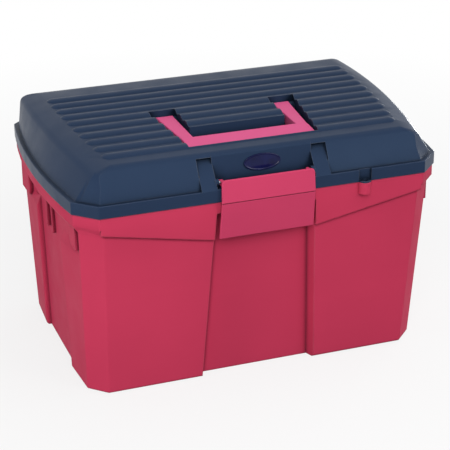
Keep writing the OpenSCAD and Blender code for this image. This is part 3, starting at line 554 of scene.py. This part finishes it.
def pale_floor(name, seen, bounce, shade, glow):
    """A floor that is seen nearly white, with a soft shadow, and that lights the box from the left.

    It turns quite white away from the box. As a source of light it is dark but for a lighter part.
    """
    bounce_middle, bounce_edge, bounce_core = (-0.6, -0.4, 0), 0.65, 0.3
    glow_near, glow_far = 0.4, 1.1
    shader = Shader(name)
    shown = shown_rays(shader.tree)
    pale = shader.blend(shader.spread(shader.noise(3.0)), "Result", scaled(seen, 0.99), seen)
    beside = shader.add("ShaderNodeVectorMath", {1: bounce_middle}, operation="DISTANCE")
    shader.join(shader.place, "Object", beside, 0)
    lit_share = shader.ranged(beside, "Value", bounce_edge, bounce_core, 0.0, 1.0)
    lit = shader.blend(lit_share, "Result", shade, bounce)
    shader.paint(shader.blend(shown, "Value", lit, pale))
    shader.set_surface(Roughness=0.9, Specular_IOR_Level=0.0)
    white = shader.add("ShaderNodeEmission", {"Color": WHITE, "Strength": 1.0})
    away = shader.add("ShaderNodeVectorMath", operation="LENGTH")
    shader.join(shader.place, "Object", away, 0)
    fade = shader.ranged(away, "Value", glow_near, glow_far, glow, 1.0)
    mix = shader.add("ShaderNodeMixShader")
    shader.join(shader.times(shown, "Value", fade, "Result"), "Value", mix, "Fac")
    shader.join(shader.surface, "BSDF", mix, 1)
    shader.join(white, "Emission", mix, 2)
    shader.join(mix, "Shader", shader.out, "Surface")
    return shader.material


# Pieces

class GROOMBOX_OT_tub(bpy.types.Operator):
    """Rounds the tub's moulded edges and gives it its pink plastic"""
    bl_idname = "groombox.tub"
    bl_label = "Tub"
    # Where small forms crowd the edges: the hinge side, and on the ends the rests and the corners
    hinges_y, hinges_z = 0.1425, 0.19
    ends_x = 0.186
    rests_z = (0.139, 0.166)
    corners_y, corners_z = 0.108, (0.08, 0.2)

    def execute(self, context):
        sizes = context.scene.groombox_sizes
        finish = context.scene.groombox_finish
        tub = solid_copy("tub", "tub_moulding")
        low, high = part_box("tub")
        hub = Vector((0, 0, (low.z + high.z) / 2))
        round_edges(tub, sizes.tub_round, degrees=25, shortest=6 * MM,
                    wanted=lambda e: faces_out(e, hub) and self.is_plain(middle(e)))
        smooth(tub)
        plastic = moulded_plastic("tub_plastic", finish.tub_pink, rough=0.5, rubbed_and_highlit=finish.rubbed_and_highlit,
                                  soft=2.6 * MM)
        hand_over(tub, "tub", plastic, "tub_plastic", "tub")
        return {"FINISHED"}

    def is_plain(self, place):
        """Whether a place is clear of the hinge side and of the small forms on the ends."""
        at_hinges = place.y > self.hinges_y and place.z > self.hinges_z
        on_end = abs(place.x) > self.ends_x
        at_rests = on_end and self.rests_z[0] < place.z < self.rests_z[1]
        at_corners = (on_end and abs(place.y) > self.corners_y
                      and self.corners_z[0] < place.z < self.corners_z[1])
        return not (at_hinges or at_rests or at_corners)


class GROOMBOX_OT_lid(bpy.types.Operator):
    """Rounds the lid's moulded edges and gives it its navy plastic"""
    bl_idname = "groombox.lid"
    bl_label = "Lid"
    # Where the edges stay crisp: the ribbed top, and the creases at the ends above the rim
    top_z = 0.255
    ends_x, ends_z = 0.17, 0.2245
    crease_degrees = 22.5

    def execute(self, context):
        sizes = context.scene.groombox_sizes
        finish = context.scene.groombox_finish
        lid = solid_copy("lid", "lid_moulding")
        hub = Vector((0, 0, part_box("lid")[0].z))
        round_edges(lid, sizes.lid_round, degrees=25, shortest=12 * MM,
                    wanted=lambda e: faces_out(e, hub) and self.is_plain(middle(e)))
        smooth(lid, self.crease_degrees)
        # groove sets a long reach of painted shade, which darkens the lid's wells and the ledge
        # under its walls.
        plastic = moulded_plastic("lid_plastic", finish.lid_navy, rough=0.36,
                                  rubbed_and_highlit=finish.lid_rubbed_and_highlit, groove=14 * MM,
                                  sheen=0.1, sheen_tint=finish.lid_sheen)
        hand_over(lid, "lid", plastic, "lid_plastic", "lid")
        return {"FINISHED"}

    def is_plain(self, place):
        """Whether a place is clear of the ribbed top and of the creases at the ends."""
        on_top = place.z > self.top_z
        on_end = abs(place.x) > self.ends_x and place.z > self.ends_z
        return not (on_top or on_end)


class GROOMBOX_OT_eye(bpy.types.Operator):
    """Models the tub's half of the padlock eye: a half-round boss with a hole for the shackle"""
    bl_idname = "groombox.eye"
    bl_label = "Padlock eye"

    def execute(self, context):
        sizes = context.scene.groombox_sizes
        finish = context.scene.groombox_finish
        low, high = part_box("padlock_boss")
        mid = (low + high) / 2
        tall = high.z - low.z
        deselect_all()
        bpy.ops.mesh.primitive_cylinder_add(vertices=48, radius=mid.x - low.x, depth=tall,
                                            location=(mid.x, high.y, mid.z))
        piece = name_new("padlock_eye")
        with editing(piece):
            bpy.ops.mesh.select_all(action="SELECT")
            bpy.ops.mesh.bisect(plane_co=high, plane_no=(0, 1, 0), use_fill=True,
                                clear_outer=True)
        deselect_all()
        bpy.ops.mesh.primitive_cylinder_add(vertices=32, radius=sizes.eye_hole / 2, depth=4 * tall,
                                            location=(mid.x, high.y - sizes.eye_out, mid.z))
        combine(piece, name_new("shackle_hole"), "DIFFERENCE")
        round_edges(piece, sizes.eye_round, steps=2, wanted=lambda e: middle(e).y < high.y - TINY)
        smooth(piece)
        plastic = moulded_plastic("eye_plastic", finish.tub_pink, rough=0.42, rubbed_and_highlit=finish.rubbed_and_highlit)
        hand_over(piece, "tub", plastic, "tub_plastic", "padlock_boss")
        return {"FINISHED"}


class GROOMBOX_OT_handle(bpy.types.Operator):
    """Models the bail handle: a hollow grip and two arms that widen to their heels"""
    bl_idname = "groombox.handle"
    bl_label = "Handle"

    def execute(self, context):
        sizes = context.scene.groombox_sizes
        finish = context.scene.groombox_finish
        low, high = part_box("handle")
        pivot = joint_place("handle_pivot")
        outer = sizes.handle_w / 2
        inner = outer - sizes.arm_w
        top = low.z + sizes.arm_top
        rear = low.y + sizes.grip_depth
        lip = 2 * sizes.grip_wall
        roof = 1.6 * sizes.grip_wall
        heel_foot = pivot.z - sizes.heel_r
        piece = block("bail_handle", (-outer, low.y, low.z), (outer, rear, top))
        with editing(piece):
            for side in (-1, 1):
                cut(0, side * inner)
            pick(piece, "FACE", lambda f: f.normal.y > 0.9 and abs(middle(f).x) > inner)
            pull((0, pivot.y - rear, heel_foot - low.z))
            for side in (-1, 1):
                pick(piece, "VERT", lambda v: near(v.co.y, pivot.y) and near(v.co.x, side * outer))
                shift((side * (high.x - outer), 0, 0))
            pick(piece, "FACE", lambda f: f.normal.y > 0.9 and near(middle(f).y, pivot.y))
            pull((0, sizes.heel_r, 0))
            pick(piece, "EDGE", lambda e: runs_along(e, 0) and near(middle(e).y, high.y))
            bevel(0.98 * sizes.heel_r, 8)  # nearly a half round, with its two bevels just apart
            for place in (rear - lip, rear - lip / 2):
                cut(1, place)
            pick(piece, "VERT", lambda v: near(v.co.z, top) and abs(v.co.x) < inner + TINY
                 and rear - 0.6 * lip < v.co.y < rear + TINY)
            shift((0, 0, sizes.grip_lip))
            pick(piece, "VERT", lambda v: near(v.co.z, top) and near(v.co.y, low.y))
            shift((0, 0, -sizes.grip_fall))
            pick(piece, "FACE", lambda f: f.normal.z < -0.9 and abs(middle(f).x) < inner)
            bpy.ops.mesh.inset(thickness=sizes.grip_wall)
            pull((0, 0, sizes.arm_top - roof))
        round_edges(piece, sizes.handle_round, degrees=20, shortest=1.2 * MM)
        hole = rod("pin_hole", -2 * high.x, 2 * high.x, pivot.y, pivot.z,
                   pin_hole("handle_pin_right"))
        combine(piece, hole, "DIFFERENCE")
        smooth(piece)
        # The handle's lighter pink is painted light for its faces lit from above.
        plastic = moulded_plastic("handle_plastic", finish.handle_lit_pink, rough=0.36,
                                  rubbed_and_highlit=finish.rubbed_and_highlit)
        hand_over(piece, "handle", plastic, "handle_plastic", "handle")
        return {"FINISHED"}


class GROOMBOX_OT_latch(bpy.types.Operator):
    """Models the latch: a bent plate with two ears on their pins and a hook"""
    bl_idname = "groombox.latch"
    bl_label = "Latch"

    def execute(self, context):
        sizes = context.scene.groombox_sizes
        finish = context.scene.groombox_finish
        low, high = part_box("latch")
        pivot = joint_place("latch_pivot")
        crease = high.z - sizes.latch_rise
        groove = crease - sizes.crease_h / 2
        step = crease - sizes.crease_h
        front = low.y
        piece = block("front_latch", (low.x, front, low.z), (high.x, front + sizes.latch_t, high.z))
        narrow = sizes.latch_top_w / (2 * high.x)
        with editing(piece):
            for height in (crease, groove, step):
                cut(2, height)
            pick(piece, "VERT", lambda v: near(v.co.z, groove) and near(v.co.y, front))
            shift((0, sizes.crease_in, 0))
            for height, back in ((low.z, sizes.latch_foot_in), (high.z, sizes.latch_top_in)):
                pick(piece, "VERT", lambda v: near(v.co.z, height))
                shift((0, back, 0))
            for height in (step, groove, crease, high.z):
                up = (height - low.z) / (high.z - low.z)
                pick(piece, "VERT", lambda v: near(v.co.z, height))
                bpy.ops.transform.resize(value=(1 + (narrow - 1) * up, 1, 1),
                                         center_override=(0, 0, 0))
            pick(piece, "EDGE", lambda e: runs_along(e, 1) and near(middle(e).z, high.z))
            bevel(sizes.latch_corner, 6)
        round_edges(piece, sizes.latch_round, degrees=40,
                    wanted=lambda e: abs(middle(e).z - groove) > sizes.crease_h)
        for side in (-1, 1):
            combine(piece, self.ear(side, pivot, sizes), "UNION")
        combine(piece, self.hook(sizes), "UNION")
        hole = rod("pin_hole", -2 * high.x, 2 * high.x, pivot.y, pivot.z,
                   pin_hole("latch_pin_right"))
        combine(piece, hole, "DIFFERENCE")
        smooth(piece)
        plastic = moulded_plastic("latch_plastic", finish.latch_pink, rough=0.36,
                                  rubbed_and_highlit=finish.rubbed_and_highlit)
        hand_over(piece, "latch", plastic, "tub_plastic", "latch")
        return {"FINISHED"}

    def core(self, height, sizes):
        """Depth of the plate's middle at a height."""
        low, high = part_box("latch")
        crease = high.z - sizes.latch_rise
        if height > crease:
            back = sizes.latch_top_in * (height - crease) / sizes.latch_rise
        else:
            back = sizes.latch_foot_in * (crease - height) / (crease - low.z)
        return low.y + back + sizes.latch_t / 2

    def ear(self, side, pivot, sizes):
        """An ear, drawn in towards the plate and round about its pin."""
        outer = sizes.latch_top_w / 2 - sizes.ear_gap
        x0, x1 = sorted((side * (outer - sizes.ear_t), side * outer))
        foot = pivot.z - sizes.ear_r
        top = pivot.z + sizes.ear_cap
        root_rise, root_fall = 0.25 * sizes.ear_r, 0.4 * sizes.ear_r
        ear = block("ear", (x0, self.core(top, sizes), foot), (x1, pivot.y + sizes.ear_r, top))
        with editing(ear):
            pick(ear, "VERT", lambda v: v.co.y < pivot.y and v.co.z < pivot.z)
            shift((0, 0, root_rise))
            pick(ear, "VERT", lambda v: v.co.y < pivot.y and v.co.z > pivot.z)
            shift((0, 0, -root_fall))
            pick(ear, "VERT", lambda v: v.co.y < pivot.y)
            shift((-side * sizes.ear_lean, 0, 0))
            pick(ear, "EDGE", lambda e: runs_along(e, 0) and middle(e).y > pivot.y)
            bevel(0.45 * (top - foot), 8)
        root = min(v.co.y for v in ear.data.vertices)
        round_edges(ear, 0.6 * sizes.latch_round, degrees=40,
                    wanted=lambda e: middle(e).y > root + MM)
        return ear

    def hook(self, sizes):
        """The hook behind the plate, drawn in towards its nose."""
        half = sizes.hook_w / 2
        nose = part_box("tub")[0].y - sizes.hook_gap
        top = self.hook_top(sizes)
        foot = top - sizes.hook_h
        nose_rise = 0.75 * sizes.hook_h
        hook = block("hook", (-half, self.core(top, sizes), foot), (half, nose, top))
        with editing(hook):
            pick(hook, "VERT", lambda v: near(v.co.y, nose) and near(v.co.z, foot))
            shift((0, 0, nose_rise))
            pick(hook, "VERT", lambda v: v.co.y < nose - TINY and near(v.co.z, foot))
            shift((0, self.core(foot, sizes) - self.core(top, sizes), 0))
        round_edges(hook, 0.5 * sizes.latch_round, degrees=40,
                    wanted=lambda e: near(middle(e).y, nose))
        return hook

    def hook_top(self, sizes):
        """Height of the hook's top, just under the tub's collar."""
        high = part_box("latch")[1]
        return high.z - sizes.latch_rise - sizes.collar_h


class GROOMBOX_OT_badge(bpy.types.Operator):
    """Models the plain oval badge with a raised border"""
    bl_idname = "groombox.badge"
    bl_label = "Badge"

    def execute(self, context):
        sizes = context.scene.groombox_sizes
        finish = context.scene.groombox_finish
        low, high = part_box("badge")
        face = max(frame["nodes"]["badge"].data.polygons, key=lambda p: -p.normal.y * p.area)
        tilt = math.asin(face.normal.z)
        thickness = sizes.badge_t
        half_h = ((high.z - low.z) - thickness * math.sin(tilt)) / (2 * math.cos(tilt))
        crown_steps = (0.75, 0.66, 0.5)
        crown_rise = 0.25 * sizes.badge_dish
        deselect_all()
        bpy.ops.mesh.primitive_circle_add(vertices=72, radius=1, fill_type="NGON",
                                          rotation=(math.pi / 2, 0, 0))
        bpy.context.object.scale = (high.x, half_h, 1)
        piece = name_new("oval_badge")
        with editing(piece):
            bpy.ops.mesh.select_all(action="SELECT")
            pull((0, thickness, 0))
            bpy.ops.mesh.select_all(action="SELECT")
            bpy.ops.mesh.normals_make_consistent(inside=False)
            pick(piece, "FACE", lambda f: f.normal.y < -0.9)
            bpy.ops.mesh.inset(thickness=sizes.badge_rim)
            bpy.ops.mesh.inset(thickness=0.4 * sizes.badge_rim)
            shift((0, sizes.badge_dish, 0))
            for width in crown_steps:
                pull((0, -crown_rise, 0))
                bpy.ops.transform.resize(value=(width, 1, width), center_override=(0, 0, 0))
        round_edges(piece, sizes.badge_round, steps=2, degrees=30)
        piece.rotation_euler = (-tilt, 0, 0)
        forward = Vector((0, -thickness / 2, 0))
        forward.rotate(piece.rotation_euler)
        piece.location = Vector((0, (low.y + high.y) / 2, (low.z + high.z) / 2)) + forward
        make_active(piece)
        bpy.ops.object.transform_apply(location=True, rotation=True, scale=True)
        smooth(piece, 40)
        lacquer = badge_lacquer("badge_lacquer", finish.badge_navy)
        hand_over(piece, "lid", lacquer, "badge_gloss", "badge")
        return {"FINISHED"}


class GROOMBOX_OT_tray(bpy.types.Operator):
    """Models the lift-out tray: drafted walls, compartments and a carrying arch"""
    bl_idname = "groombox.tray"
    bl_label = "Tray"

    def execute(self, context):
        sizes = context.scene.groombox_sizes
        finish = context.scene.groombox_finish
        low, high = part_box("tray")
        rim = high.z - sizes.tray_rim_drop
        wall = sizes.tray_wall
        centre = (low.y + high.y) / 2
        piece = block("lift_out_tray", low, (high.x, high.y, rim))
        draft = 1 - sizes.tray_draft / high.x, 1 - 2 * sizes.tray_draft / (high.y - low.y)
        with editing(piece):
            pick(piece, "VERT", lambda v: near(v.co.z, low.z))
            bpy.ops.transform.resize(value=(*draft, 1), center_override=(0, centre, 0))
            pick(piece, "EDGE", lambda e: abs(e.verts[0].co.z - e.verts[1].co.z) > wall)
            bevel(sizes.tray_corner, 6)
            pick(piece, "FACE", lambda f: f.normal.z > 0.9)
            bpy.ops.mesh.inset(thickness=wall)
            pull((0, 0, -sizes.divider_drop))
        divider_x = (high.x - low.x) / 6
        self.compartments(piece, rim - sizes.divider_drop, centre, divider_x, sizes)
        combine(piece, self.arch(low, high, centre, sizes), "UNION")
        round_edges(piece, sizes.tray_round, steps=2, degrees=30, shortest=1.5 * MM)
        smooth(piece)
        # groove sets the reach of the painted shade in the tray's compartments and corners.
        plastic = moulded_plastic("tray_plastic", finish.tray_slate, rough=0.45,
                                  rubbed_and_highlit=finish.rubbed_and_highlit, groove=10 * MM)
        hand_over(piece, "tray", plastic, "tray_plastic", "tray")
        return {"FINISHED"}

    def compartments(self, piece, top, centre, divider_x, sizes):
        """Sinks one long and three short compartments into the tray."""
        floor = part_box("tray")[0].z + sizes.tray_wall
        half = sizes.tray_wall / 2
        with editing(piece):
            for edge in (-half, half):
                cut(1, centre + edge)
            for side in (-1, 1):
                for edge in (-half, half):
                    cut(0, side * divider_x + edge)
            pick(piece, "FACE", lambda f: f.normal.z > 0.9 and near(middle(f).z, top)
                 and self.in_compartment(middle(f), centre, divider_x, half))
            pull((0, 0, floor - top))

    def in_compartment(self, place, centre, divider_x, half):
        """Whether a place lies in a compartment, and not on a divider."""
        on_long = abs(place.y - centre) < half
        on_short = place.y > centre and abs(abs(place.x) - divider_x) < half
        return not (on_long or on_short)

    def arch(self, low, high, centre, sizes):
        """The carrying arch, with a finger opening through it."""
        half = sizes.arch_l / 2
        bar = sizes.arch_bar
        y0 = centre - sizes.arch_t / 2
        arch = block("arch", (-half, y0, low.z + sizes.tray_wall / 2),
                     (half, y0 + sizes.arch_t, high.z))
        with editing(arch):
            pick(arch, "VERT", lambda v: near(v.co.z, high.z))
            bpy.ops.transform.resize(value=((half - bar) / half, 1, 1),
                                     center_override=(0, centre, 0))
            pick(arch, "EDGE", lambda e: runs_along(e, 1) and near(middle(e).z, high.z))
            bevel(2 * bar, 6)
        hole_half = half - 2 * bar
        hole_top = high.z - bar
        hole = block("finger_hole", (-hole_half, y0 - bar, hole_top - sizes.arch_hole),
                     (hole_half, y0 + bar + sizes.arch_t, hole_top))
        with editing(hole):
            pick(hole, "EDGE", lambda e: runs_along(e, 1))
            bevel(1.2 * bar, 6)
        combine(arch, hole, "DIFFERENCE")
        return arch


class GROOMBOX_OT_pins(bpy.types.Operator):
    """Models the steel pins of the hinges, the handle and the latch"""
    bl_idname = "groombox.pins"
    bl_label = "Pins"

    def execute(self, context):
        sizes = context.scene.groombox_sizes
        steel = drawn_steel("drawn_steel", context.scene.groombox_finish.pin_steel)
        bodies = {"hinge_pin": "tub", "handle_pin": "lid", "latch_pin": "lid"}
        for kind, body in bodies.items():
            for side in ("left", "right"):
                node = f"{kind}_{side}"
                low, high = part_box(node)
                mid = (low + high) / 2
                pin = rod(f"{node}_steel", low.x, high.x, mid.y, mid.z, (high.z - low.z) / 2)
                with editing(pin):
                    pick(pin, "EDGE", lambda e: near(e.verts[0].co.x, e.verts[1].co.x))
                    bevel(sizes.pin_chamfer, 2)
                smooth(pin, 50)
                hand_over(pin, body, steel, "pin_steel", node)
        return {"FINISHED"}


class GROOMBOX_OT_stage(bpy.types.Operator):
    """Sets up the floor, the lamps, the world and the camera"""
    bl_idname = "groombox.stage"
    bl_label = "Stage"
    # Place, width and height of each lamp, and the point that they all face
    lamps = {
        "key": ((-0.55, -1.85, 1.4), 1.2, 1.2),
        "left": ((-1.7, -0.3, 0.12), 0.5, 0.5),
        "fill": ((1.2, -1.8, 0.9), 1.0, 1.0),
        "back": ((2.1, 1.5, 0.13), 0.9, 0.2),
    }
    aim = (0, 0, 0.12)
    # The soft light is strongest from this side, and grows between these two heights along it
    sky_side = (0.45, 0.0, 0.893)
    sky_from, sky_full = 0.35, 0.95
    floor_size = 12
    sensor_mm = 36
    farthest = 50

    def execute(self, context):
        stage = context.scene.groombox_stage
        self.floor(context.scene.groombox_finish, stage.floor_glow)
        self.world(stage)
        powers = {"key": stage.key_light, "left": stage.left_light,
                  "fill": stage.fill_light, "back": stage.back_light}
        for name, power in powers.items():
            self.lamp(f"{name}_lamp", power, *self.lamps[name])
        self.camera(stage)
        context.scene.view_settings.view_transform = "Standard"
        return {"FINISHED"}

    def floor(self, finish, glow):
        """A wide pale floor under the box."""
        deselect_all()
        bpy.ops.mesh.primitive_plane_add(size=self.floor_size)
        floor = name_new("floor")
        pale = pale_floor("pale_floor", finish.floor_white, finish.floor_bounce,
                          finish.floor_shade, glow)
        floor.data.materials.append(pale)

    def world(self, stage):
        """White where it is seen, and on the box a soft light that is strongest from above."""
        world = bpy.data.worlds.new("studio")
        bpy.context.scene.world = world
        world.use_nodes = True
        tree = world.node_tree
        way = tree.nodes.new("ShaderNodeTexCoord")
        height = tree.nodes.new("ShaderNodeVectorMath")
        height.operation = "DOT_PRODUCT"
        height.inputs[1].default_value = self.sky_side
        tree.links.new(way.outputs["Generated"], height.inputs[0])
        rise = tree.nodes.new("ShaderNodeMapRange")
        rise.inputs["From Min"].default_value = self.sky_from
        rise.inputs["From Max"].default_value = self.sky_full
        rise.inputs["To Min"].default_value = stage.wall_light
        rise.inputs["To Max"].default_value = stage.sky_light
        tree.links.new(height.outputs["Value"], rise.inputs["Value"])
        light = tree.nodes["Background"]
        light.inputs["Color"].default_value = WHITE
        tree.links.new(rise.outputs["Result"], light.inputs["Strength"])
        white = tree.nodes.new("ShaderNodeBackground")
        white.inputs["Color"].default_value = WHITE
        white.inputs["Strength"].default_value = 1.0
        mix = tree.nodes.new("ShaderNodeMixShader")
        tree.links.new(shown_rays(tree).outputs["Value"], mix.inputs[0])
        tree.links.new(light.outputs[0], mix.inputs[1])
        tree.links.new(white.outputs[0], mix.inputs[2])
        tree.links.new(mix.outputs[0], tree.nodes["World Output"].inputs["Surface"])

    def lamp(self, name, power, place, width, height):
        """A soft lamp that faces the box, out of the camera's sight."""
        deselect_all()
        bpy.ops.object.light_add(type="AREA", location=place)
        lamp = bpy.context.object
        lamp.name = name
        lamp.data.energy = power
        lamp.data.shape = "RECTANGLE"
        lamp.data.size = width
        lamp.data.size_y = height
        lamp.visible_camera = False
        way = Vector(self.aim) - Vector(place)
        lamp.rotation_euler = way.to_track_quat("-Z", "Y").to_euler()

    def camera(self, stage):
        """The camera at the photograph's viewing angle."""
        deselect_all()
        bpy.ops.object.camera_add(location=stage.eye)
        camera = bpy.context.object
        camera.name = "camera"
        camera.rotation_mode = "QUATERNION"
        sight = (Vector(stage.target) - Vector(stage.eye)).to_track_quat("-Z", "Y")
        camera.rotation_quaternion = sight @ Quaternion((0, 0, 1), stage.roll)
        camera.data.sensor_width = self.sensor_mm
        camera.data.lens = stage.lens
        camera.data.clip_end = self.farthest
        bpy.context.scene.camera = camera


class GROOMBOX_PT_panel(bpy.types.Panel):
    """Sizes, finishes and steps of the grooming box"""
    bl_idname = "GROOMBOX_PT_panel"
    bl_label = "Grooming Box"
    bl_space_type = "VIEW_3D"
    bl_region_type = "UI"
    bl_category = "Grooming Box"

    def draw(self, context):
        for group in (context.scene.groombox_sizes, context.scene.groombox_finish,
                      context.scene.groombox_stage):
            column = self.layout.column(align=True)
            for name in group.__annotations__:
                column.prop(group, name)
        for step in STEPS:
            self.layout.operator(step.bl_idname)


GROUPS = {
    "groombox_sizes": GroomBoxSizes,
    "groombox_finish": GroomBoxFinish,
    "groombox_stage": GroomBoxStage,
}
STEPS = (GROOMBOX_OT_stage, GROOMBOX_OT_tub, GROOMBOX_OT_eye, GROOMBOX_OT_lid, GROOMBOX_OT_handle,
         GROOMBOX_OT_latch, GROOMBOX_OT_badge, GROOMBOX_OT_tray, GROOMBOX_OT_pins)


def register():
    """Makes the properties, the steps and the panel known to Blender."""
    for group in GROUPS.values():
        bpy.utils.register_class(group)
    for name, group in GROUPS.items():
        setattr(bpy.types.Scene, name, PointerProperty(type=group))
    for step in STEPS:
        bpy.utils.register_class(step)
    bpy.utils.register_class(GROOMBOX_PT_panel)


def unregister():
    """Takes back what register has made known."""
    bpy.utils.unregister_class(GROOMBOX_PT_panel)
    for step in reversed(STEPS):
        bpy.utils.unregister_class(step)
    for name, group in GROUPS.items():
        delattr(bpy.types.Scene, name)
        bpy.utils.unregister_class(group)


def main():
    """Registers the add-on and makes the stage and every piece."""
    register()
    bpy.ops.groombox.stage()
    bpy.ops.groombox.tub()
    bpy.ops.groombox.eye()
    bpy.ops.groombox.lid()
    bpy.ops.groombox.handle()
    bpy.ops.groombox.latch()
    bpy.ops.groombox.badge()
    bpy.ops.groombox.tray()
    bpy.ops.groombox.pins()
    deselect_all()


if __name__ == "__main__":
    main()
